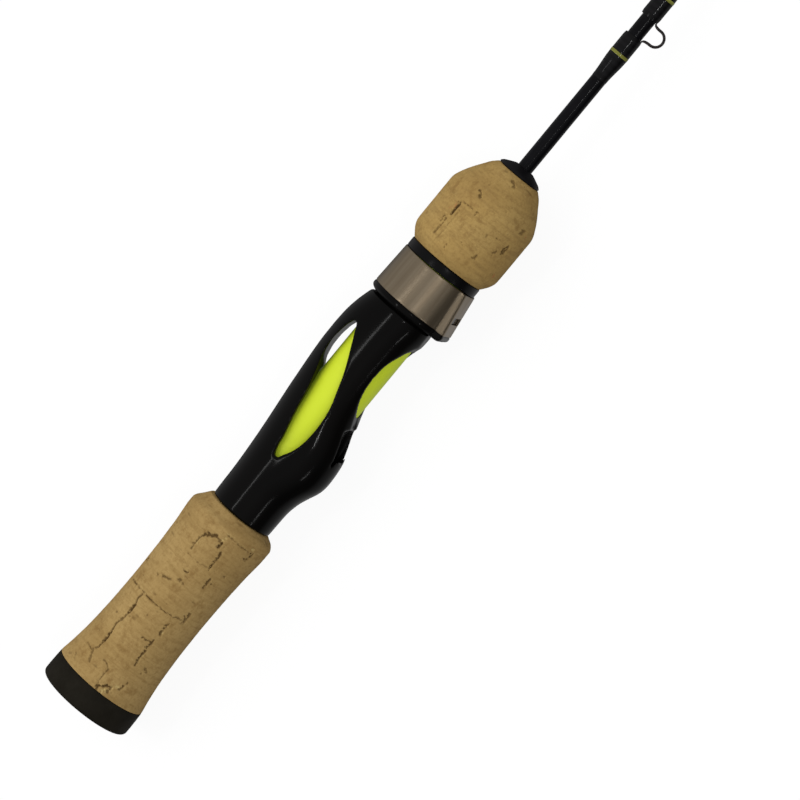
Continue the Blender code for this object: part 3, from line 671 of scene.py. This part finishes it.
def make_seat():
    """The skeleton seat, remeshed after its openings are cut so that every edge is rounded."""
    def outside(x, angle):
        if x < SEAT_FRONT:
            return seat_radius(x, angle)
        from_spine = abs((math.degrees(angle) + 180) % 360 - 180)
        return 8.4 + (0.5 if from_spine < 8.0 else 0.0)

    stations = steps(63.0, SEAT_FRONT, SEAT_SECTIONS) + [SEAT_FRONT + 0.2, 135.0, 142.4]
    seat = sleeve("seat_skin", stations, outside, lambda x, angle: 7.53, "gloss", SEAT_FACETS)
    window = prism("window", [
        (81.25, 0.7), (83.2, 1.9), (86.25, 2.5), (90.0, 3.55), (93.7, 4.5), (97.4, 5.25), (101.0, 6.15),
        (104.7, 7.3), (108.5, 8.6), (112.3, 9.15), (116.1, 8.9), (118.6, 8.3), (120.1, 7.3), (119.3, 6.4),
        (117.6, 5.5), (113.9, 3.6), (108.9, 1.2), (103.9, -0.6), (98.8, -2.15), (93.8, -2.8), (90.0, -2.8),
        (86.3, -2.2), (83.0, -0.7)], -BEYOND, BEYOND)
    far_window = prism("far_window", [
        (100.0, 5.2), (104.7, 8.2), (108.5, 9.9), (112.3, 10.6), (116.1, 10.4), (118.8, 9.6), (120.6, 8.0),
        (119.3, 6.0), (112.0, 4.0), (104.0, 3.0)], -BEYOND, -0.3)
    under_foot = [(102.2, -7.2), (104.9, -6.3), (108.5, -5.6), (112.3, -5.4), (116.0, -5.7), (120.0, -6.8),
                  (122.4, -7.65), (124.3, -8.7), (125.0, -14.0), (106.0, -BEYOND), (90.0, -17.0)]
    bed = prism("bed", [(88.9, -12.7), (90.4, -11.2), (92.5, -10.2), (96.4, -9.2), (99.2, -8.2)]
                + under_foot, -0.3, BEYOND)
    far_bed = prism("far_bed", [(90.6, -13.3), (92.0, -12.4), (94.2, -11.4), (97.4, -9.8), (99.8, -8.3)]
                    + under_foot, -BEYOND, 0.3)
    pocket = prism("pocket", [(80.5, -8.9), (90.0, -8.9), (98.0, -8.9), (98.0, -12.0), (90.0, -11.4),
                              (80.5, -9.8)], -4.0, 4.8)
    ledge = block("ledge", (121.5, -BEYOND, -BEYOND), (SEAT_FRONT - 0.1, -8.6, BEYOND))
    cutters = (window, far_window, bed, far_bed, pocket, ledge)
    for cutter in cutters:
        combine(seat, cutter)
    remesh = seat.modifiers.new("skin", "REMESH")
    remesh.mode = "VOXEL"
    remesh.voxel_size = 0.00027
    remesh.use_smooth_shade = True
    soften = seat.modifiers.new("soften", "SMOOTH")
    soften.factor = 0.5
    soften.iterations = 16
    settle(seat, *cutters)
    seat.data.shade_smooth()
    dress(seat, "rod", "gloss_black", "reel_seat_body")


def make_sleeve_tube():
    tube = [(63.2, SLEEVE_RADIUS), (152.0, SLEEVE_RADIUS), (152.0, 6.1), (63.2, 6.1)]
    dress(turned("sleeve_tube", rounded(tube, 0.2), "lime", 160), "rod", "lime", "seat_sleeve")


def bump_radius(angle, half_width, height, corner=14):
    towards = -math.cos(angle)
    if towards <= 0:
        return 0.0
    return ((towards / height) ** corner + (abs(math.sin(angle)) / half_width) ** corner) ** (-1 / corner)


def hood_radius(x, angle, inset=0.0):
    t = min(1.0, max(0.0, (x - RING_REAR) / (RING_FRONT - RING_REAR)))
    bump = bump_radius(angle, 5.7 + 0.9 * t - inset, 12.1 - 1.85 * t - inset)
    plain = 11.2 - 0.4 * t - inset
    return (plain ** 40 + bump ** 40) ** (1 / 40)


def make_hood():
    facets = 256
    wall = 0.5

    def ring_outside(x, angle):
        edge = min(x - RING_REAR, RING_FRONT - x)
        return hood_radius(x, angle) - 0.16 * max(0.0, 1 - edge / 0.22) ** 2

    ends = [0.0, 0.06, 0.13, 0.22]
    stations = ([RING_REAR + e for e in ends] + steps(RING_REAR + 0.6, RING_FRONT - 0.6, 16)
                + [RING_FRONT - e for e in ends[::-1]])
    ring = sleeve("hood_ring_skin", stations, ring_outside,
                  lambda x, angle: hood_radius(x, angle, wall), "steel", facets, 30.0)
    latch = block("latch", (134.5, -14.0, -4.2), (136.4, -10.7, 4.2))
    combine(ring, latch)
    settle(ring, latch)
    ring.data.set_sharp_from_angle(angle=math.radians(30))
    dress(ring, "hood", "steel", "hood_ring")

    def lip_outside(x, angle):
        if x >= RING_REAR - 0.05:
            return hood_radius(x, angle, wall + 0.12)
        rise = max(0.0, 1 - (x - 129.0) / 1.2)
        fall = max(0.0, (x - (RING_REAR - 0.5)) / 0.45)
        return hood_radius(RING_REAR, angle) + 0.05 - 1.1 * rise ** 2.4 - 0.25 * fall ** 2

    def bore(x, angle):
        from_spine = abs((math.degrees(angle) + 180) % 360 - 180)
        plain = 8.65 + (0.5 if from_spine < 16.0 else 0.0)
        if x > 138.6:
            return plain
        t = (x - 129.0) / 9.6
        return max(plain, bump_radius(angle, 4.8, 11.3 - 1.4 * t))

    stations = (steps(129.0, RING_REAR - 0.9, 8) + [RING_REAR - back for back in (0.6, 0.4, 0.2, 0.06, 0.0)]
                + [135.0, 138.6, 138.7, 142.5])
    insert = sleeve("hood_insert_skin", stations, lip_outside, bore, "gloss", facets, 35.0)
    dress(insert, "hood", "gloss_black", "hood_insert")


def make_foregrip_hardware():
    nut = [(142.72, 10.68), (145.28, 10.68), (145.28, 9.5), (163.0, 9.5), (163.0, 8.65), (142.72, 8.65)]
    dress(turned("nut_skin", rounded(nut, 0.35), "collar", 160), "foregrip", "gloss_black",
          "foregrip_nut")
    dome = [(173.6, 2.4), (173.6, 6.0), (173.9, 6.15), (174.5, 5.6), (175.1, 4.4), (175.6, 3.3), (175.9, 2.6),
            (175.85, 2.4)]
    dress(turned("front_cap_skin", rounded(dome, 0.4), "front_cap", 96), "foregrip", "rubber",
          "front_cap")


def make_barrel():
    """The exposed thread, seen when the hood is run forward."""
    pitch, turns, root, crest = 2.0, 9, 7.95, 8.4
    start = RING_FRONT
    stations = steps(start, start + pitch * turns, 16 * turns)

    def outside(x, angle):
        turn = ((x - start) / pitch - angle / (2 * math.pi)) % 1.0
        ridge = min(1.0, max(0.0, 2.0 - abs(turn - 0.5) * 6.0))
        fade = min(1.0, max(0.0, min(x - stations[0], stations[-1] - x) / (pitch / 2)))
        return root + (crest - root) * ridge * fade

    barrel = sleeve("barrel_skin", stations, outside, lambda x, angle: 7.53, "gloss", 64, 30.0)
    dress(barrel, "rod", "gloss_black", "threaded_barrel")


# ---------------------------------------------------------------- blank, wraps and guides

def make_blank():
    """The hollow butt section and the solid tip section that is plugged into it."""
    outline = [(x, blank_radius(x)) for x in steps(4.0, SPLICE, 60)]
    bore = [(SPLICE, 0.8), (236.0, 1.2), (4.0, 1.2)]
    dress(turned("blank_butt_skin", outline + bore, "blank", 48), "rod", "blank_black", "blank_butt")
    outline = [(x, blank_radius(x)) for x in steps(SPLICE + 0.1, TIP - 4.6, 60)]
    tenon = [(320.0, 0.0), (320.0, 0.7), (SPLICE + 0.1, 0.7)]
    tip = turned("blank_tip_skin", tenon + outline + [(TIP - 4.6, 0.0)], "blank", 48)
    dress(tip, "rod", "blank_black", "blank_tip")


def make_wrap(name, node, start, end, radius, bore, slot, taper, shift=0.0, bulge=0.0):
    """Wound thread under a clear coat, its ends drawn down to the blank."""
    outline = []
    for x in steps(start, end, 40):
        edge = min(x - start, end - x)
        ease = min(1.0, edge / taper)
        ease = 1 - (1 - ease) ** 2.2
        outline.append((x, bore + 0.06 + (radius - bore - 0.06) * ease
                        + bulge * math.sin(math.pi * (x - start) / (end - start))))
    shape = turned(name, outline + [(end, bore), (start, bore)], slot, 64, (0.0, -shift))
    dress(shape, "rod", slot, node)


def make_band(name, node, middle, width, radius, slot, shift=0.0):
    x0, x1 = middle - width / 2, middle + width / 2
    shape = turned(name, rounded([(x0, radius + 0.02), (x1, radius + 0.02), (x1, radius + 0.12),
                                  (x0, radius + 0.12)], 0.04, 3), slot, 64, (0.0, -shift))
    dress(shape, "rod", slot, node)


def keeper_wrap(side, mirrored, foot, band):
    """A wrap that swells from the blank towards the loop, with the keeper's flat foot under it."""
    root, loop_end = KEEPER_X - 16.6, KEEPER_X - 2.95
    blank = blank_radius(KEEPER_X)
    outside = []
    for x in steps(root, loop_end, 60):
        swell = 0.5 - 0.5 * math.cos(math.pi * min(1.0, (x - root) / 7.5))
        drop = max(0.0, 1 - (loop_end - x) / 1.3) ** 2
        outside.append((x, blank + 0.05 + 0.50 * swell - 0.16 * drop))
    inside = [(loop_end, foot + 0.14), (KEEPER_X - 9.8, foot + 0.14), (root, blank + 0.02)]
    if mirrored:
        outside = [(2 * KEEPER_X - x, radius) for x, radius in outside[::-1]]
        inside = [(2 * KEEPER_X - x, radius) for x, radius in inside[::-1]]
    dress(turned(f"keeper_thread_{side}", outside + inside, "black_thread", 64), "rod", "black_thread",
          f"keeper_wrap_{side}")
    make_band(f"keeper_trim_{side}", f"keeper_band_{side}", band, 0.8, blank + 0.47, "olive_thread")


def make_keeper():
    foot = blank_radius(KEEPER_X) + 0.16
    radius = 2.5 - 0.33
    centre = 6.7 - radius
    half = [(KEEPER_X - 9.5, foot, 0.11), (KEEPER_X - 4.4, foot, 0.12), (KEEPER_X - 3.2, foot + 0.01, 0.15),
            (KEEPER_X - 2.75, foot + 0.14, 0.24), (KEEPER_X - 2.45, foot + 0.42, 0.30),
            (KEEPER_X - 2.27, foot + 0.9, 0.36), (KEEPER_X - radius - 0.02, foot + 1.5, 0.37)]
    path = list(half)
    for angle in steps(180, 0, 28):
        turn = math.radians(angle)
        path.append((KEEPER_X + radius * math.cos(turn), centre + radius * math.sin(turn), 0.37))
    path += [(2 * KEEPER_X - x, depth, size) for x, depth, size in half[::-1]]
    loop = sweep("keeper_wire", [(x, -depth, 0.0) for x, depth, _ in path],
                 [(size, size) for _, _, size in path], "frame", 20)
    dress(loop, "rod", "guide_black", "keeper_loop")
    keeper_wrap("rear", False, foot, 212.8)
    keeper_wrap("front", True, foot, 230.8)


def make_guide(name, station, stand_off, hoop, hole, wrap_length):
    """A single-foot guide with its ceramic ring and its wrap."""
    size = (hoop / 8.9) ** 0.6
    depth = 1.9 * size
    seat = hole + (hoop - hole) * 0.36
    half = depth / 2
    place = (station, -stand_off)
    shift = 0.2 * size
    hoop_corners = [(half * 0.55, hoop), (-half * 0.55, hoop), (-half, (hoop + seat) / 2), (-half, seat),
                    (half, seat), (half, (hoop + seat) / 2)]
    frame_obj = turned(f"{name}_hoop", rounded(hoop_corners, 0.45 * size, 6), "frame", 128, place,
                       GUIDE_LEAN, 60.0)
    ring = seat - 0.03
    insert_corners = [(half * 0.75, ring), (-half * 0.75, ring), (-half * 0.95, (ring + hole) / 2),
                      (-half * 0.4, hole), (half * 0.4, hole), (half * 0.95, (ring + hole) / 2)]
    insert = turned(f"{name}_ring", rounded(insert_corners, 0.4 * size, 6), "ceramic", 128, place,
                    GUIDE_LEAN, 60.0)
    dress(insert, "rod", "ceramic", f"{name}_insert")

    foot_front = station - 0.573 * stand_off
    blank = blank_radius(foot_front)
    foot_depth = blank + 0.1 + 0.25 * size
    join = (station - (hoop - 0.7 * size) * math.sin(GUIDE_LEAN),
            stand_off - (hoop - 0.7 * size) * math.cos(GUIDE_LEAN))
    bend = (foot_front + 0.56 * (join[0] - foot_front), foot_depth + 0.28 * (join[1] - foot_depth))
    path, sizes = [], []
    back = foot_front - wrap_length + 1.2
    for t in steps(0.0, 1.0, 10):
        x = back + (foot_front - back) * t
        path.append((x, -foot_depth, 0.0))
        sizes.append(((0.10 + 0.17 * t) * size, 0.5 * size))
    for t in steps(0.0, 1.0, 26)[1:]:
        x, y = ((1 - t) ** 2 * a + 2 * t * (1 - t) * b + t * t * c
                for a, b, c in zip((foot_front, foot_depth), bend, join))
        grow = min(1.0, t / 0.16)
        grow = grow * grow * (3 - 2 * grow)
        path.append((x, -y, 0.0))
        sizes.append(((0.27 + 0.33 * grow) * size, (0.5 + 0.5 * grow) * size))
    arm = sweep(f"{name}_arm", path, sizes, "frame", 24, 2.6)
    combine(frame_obj, arm, "UNION")
    settle(frame_obj, arm)
    frame_obj.data.shade_smooth()
    frame_obj.data.set_sharp_from_angle(angle=math.radians(50))
    dress(frame_obj, "rod", "guide_black", f"{name}_frame")

    wrap_end = foot_front - 0.6
    bore = math.hypot(foot_depth + 0.25 * size - shift, 0.5 * size) + 0.1
    bore = max(bore, blank_radius(wrap_end - wrap_length) + shift + 0.1)
    make_wrap(f"{name}_thread", f"{name}_wrap", wrap_end - wrap_length, wrap_end, bore + 0.28, bore,
                     "olive_thread", 1.6, shift)
    make_band(f"{name}_trim", f"{name}_band", wrap_end - wrap_length / 2, 1.2 * size, bore + 0.26,
                     "black_thread", shift)


def make_tip_top():
    hoop, hole, depth, seat = 3.0, 1.5, 1.3, 2.05
    centre = (TIP - 1.9, -3.1)
    corners = [(depth * 0.28, hoop), (-depth * 0.28, hoop), (-depth / 2, 2.6), (-depth / 2, seat),
               (depth / 2, seat), (depth / 2, 2.6)]
    ring = turned("tip_top_hoop", rounded(corners, 0.3, 5), "frame", 96, centre, GUIDE_LEAN, 60.0)
    bore = blank_radius(TIP - 9) + 0.1
    tube = turned("tip_tube", [(TIP - 4.3, 0.0), (TIP - 4.3, bore), (TIP - 9.0, bore), (TIP - 9.0, 0.92),
                               (TIP - 8.9, 1.0), (TIP - 2.9, 1.0), (TIP - 2.65, 0.8), (TIP - 2.6, 0.0)],
                  "frame", 48)
    combine(ring, tube, "UNION")
    settle(ring, tube)
    ring.data.shade_smooth()
    ring.data.set_sharp_from_angle(angle=math.radians(50))
    dress(ring, "rod", "guide_black", "tip_top_frame")
    corners = [(depth * 0.35, seat - 0.05), (-depth * 0.35, seat - 0.05), (-depth * 0.47, 1.8),
               (-depth * 0.2, hole), (depth * 0.2, hole), (depth * 0.47, 1.8)]
    insert = turned("tip_top_ring", rounded(corners, 0.2, 5), "ceramic", 96, centre, GUIDE_LEAN, 60.0)
    dress(insert, "rod", "ceramic", "tip_top_insert")
    start = TIP - 15.0
    make_wrap("tip_top_thread", "tip_top_wrap", start, TIP - 9.2, 1.04, blank_radius(start) + 0.1,
              "olive_thread", 0.8)
    make_band("tip_top_trim", "tip_top_band", start + 3.0, 0.8, 1.02, "black_thread")


# ---------------------------------------------------------------- camera and studio

FLOOR = -13.3                       # the floor's height, in mm
REACH = 30.0                        # half the floor's width, in metres
TENT_TILT = math.radians(40.0)      # how far the tent's brightest side leans to the rod's spine
TENT = [(-1.0, 0.9), (-0.86, 0.75), (-0.70, 0.14), (-0.45, 0.12), (0.0, 0.60), (0.55, 1.0)]
TENT_STRENGTH = 0.50
ROLL = math.radians(9.5)            # the rod lies with its guides turned a little towards the viewer
HANDLE_SLOPE = math.radians(50.37)  # how steeply the rod climbs to the right
PICTURE = 201.1                     # width of the picture at the rod, in mm
SENSOR = 36.0
STAND = 1060.0                      # height of the camera above the rod
LOOK_AT = (111.15, 12.82)           # (station, offset towards the guides) at the picture's centre
CAMERA_AT = (229.0, 12.82)


def on_rod(x, offset, height):
    """A point beside the rod, in metres, in the slightly rolled system the camera looks down on."""
    guides = Vector((0, -math.cos(ROLL), -math.sin(ROLL)))
    up = Vector((0, -math.sin(ROLL), math.cos(ROLL)))
    return (Vector((x, 0, 0)) + guides * offset + up * height) * MM


def make_camera():
    data = bpy.data.cameras.new("camera")
    camera = bpy.data.objects.new("camera", data)
    bpy.context.scene.collection.objects.link(camera)
    eye, target = on_rod(*CAMERA_AT, STAND), on_rod(*LOOK_AT, 0.0)
    back = (eye - target).normalized()
    along = Vector((1, 0, 0))
    along = (along - back * along.dot(back)).normalized()
    up_hill = back.cross(along)
    right = along * math.cos(HANDLE_SLOPE) - up_hill * math.sin(HANDLE_SLOPE)
    up = back.cross(right)
    rotation = Matrix((right, up, back)).transposed()
    camera.matrix_world = Matrix.Translation(eye) @ rotation.to_4x4()
    data.sensor_width = SENSOR
    data.lens = SENSOR * (eye - target).length / (PICTURE * MM)
    data.clip_start, data.clip_end = 0.01, 100.0
    bpy.context.scene.camera = camera


def sun_light(name, azimuth, elevation, spread, strength):
    """Soft light spread degrees wide from azimuth (0 at -Y, 90 at +X), too soft to show in gloss."""
    data = bpy.data.lights.new(name, "SUN")
    data.angle = math.radians(spread)
    data.energy = strength
    light = bpy.data.objects.new(name, data)
    bpy.context.scene.collection.objects.link(light)
    light.visible_glossy = False
    a, e = math.radians(azimuth), math.radians(elevation)
    towards = Vector((math.sin(a) * math.cos(e), -math.cos(a) * math.cos(e), math.sin(e)))
    light.rotation_euler = towards.to_track_quat("Z", "Y").to_euler()


def strip_light(name, place, length, width, power):
    """A narrow strip along the rod, aimed at it, that draws the thin lines on its gloss."""
    data = bpy.data.lights.new(name, "AREA")
    data.shape = "RECTANGLE"
    data.size, data.size_y = length * MM, width * MM
    data.energy = power
    light = bpy.data.objects.new(name, data)
    bpy.context.scene.collection.objects.link(light)
    x, guides, height = place
    light.location = on_rod(x, guides, height)
    light.visible_camera = False
    back = (light.location - on_rod(x, 0.0, 0.0)).normalized()
    along = Vector((1, 0, 0))
    light.rotation_euler = Matrix((along, back.cross(along), back)).transposed().to_euler()


def make_world():
    """A tent of light: bright above and behind the rod's spine, dim low down on the guides' side."""
    world = bpy.data.worlds.new("studio")
    bpy.context.scene.world = world
    world.use_nodes = True
    tree = world.node_tree
    direction = tree.nodes.new("ShaderNodeTexCoord").outputs["Generated"]
    slope = tree.nodes.new("ShaderNodeVectorMath")
    slope.operation = "DOT_PRODUCT"
    slope.inputs[1].default_value = (0.0, math.sin(TENT_TILT), math.cos(TENT_TILT))
    ramp = tree.nodes.new("ShaderNodeValToRGB").color_ramp
    while len(ramp.elements) < len(TENT):
        ramp.elements.new(0.5)
    for element, (towards, bright) in zip(ramp.elements, TENT):
        element.position = 0.5 + towards / 2
        element.color = (bright, bright, bright, 1.0)
    half = tree.nodes.new("ShaderNodeMapRange")
    half.inputs["From Min"].default_value = -1.0
    tree.links.new(direction, slope.inputs[0])
    tree.links.new(slope.outputs["Value"], half.inputs["Value"])
    shade = tree.nodes["Color Ramp"]
    tree.links.new(half.outputs["Result"], shade.inputs["Fac"])
    background = tree.nodes["Background"]
    background.inputs["Strength"].default_value = TENT_STRENGTH
    tree.links.new(shade.outputs["Color"], background.inputs["Color"])


def stage_piece(name, mesh, grey, glow, casts):
    """Floor or backdrop: white, and lighting nothing itself, so that the tent sets the light."""
    obj = bpy.data.objects.new(name, mesh)
    bpy.context.scene.collection.objects.link(obj)
    made = Nodes(name, Roughness=1.0, Specular_IOR_Level=0.0, Emission_Color=(1, 1, 1, 1),
                 Emission_Strength=glow)
    made.colour(made.ramp(made.noise(4.0, 2.0), [(0.3, (grey,) * 3), (0.7, (grey * 1.03,) * 3)]))
    mesh.materials.append(made.material)
    obj.visible_diffuse = obj.visible_glossy = obj.visible_transmission = False
    obj.visible_shadow = casts


def make_studio():
    bpy.context.scene.view_settings.view_transform = "Standard"
    make_world()
    floor = bpy.data.meshes.new("floor")
    depth = FLOOR * MM
    floor.from_pydata([(-REACH, -REACH, depth), (REACH, -REACH, depth), (REACH, REACH, depth),
                       (-REACH, REACH, depth)], [], [(0, 1, 2, 3)])
    stage_piece("floor", floor, 0.10, 0.915, False)
    dome = bpy.data.meshes.new("backdrop")
    made = bmesh.new()
    bmesh.ops.create_uvsphere(made, u_segments=48, v_segments=24, radius=REACH * 0.9)
    made.to_mesh(dome)
    made.free()
    stage_piece("backdrop", dome, 0.02, 0.97, False)
    sun_light("key", 178, 42, 70, 1.40)
    sun_light("fill", 5, 42, 90, 0.75)
    strip_light("spine_strip", (-90.0, -330.0, 560.0), 380.0, 20.0, 0.32)
    strip_light("side_strip", (-90.0, 520.0, 470.0), 220.0, 14.0, 0.13)
    strip_light("keeper_strip", (240.0, 250.0, 1000.0), 150.0, 7.0, 0.42)


MATERIALS = make_materials()
make_cap()
make_cork()
make_seat()
make_sleeve_tube()
make_hood()
make_foregrip_hardware()
make_barrel()
make_blank()
make_keeper()
make_wrap("splice_thread", "splice_wrap", 330.9, 345.1, 1.62, blank_radius(330.9) + 0.1, "black_thread", 2.6)
make_band("splice_trim", "splice_band", SPLICE, 1.1, 1.6, "olive_thread")
for guide in GUIDES:
    make_guide(*guide)
make_tip_top()
for name in ("rear_arbor", "front_arbor"):
    for slot_ in nodes[name].material_slots:
        slot_.material = MATERIALS["arbor"]

make_camera()
make_studio()
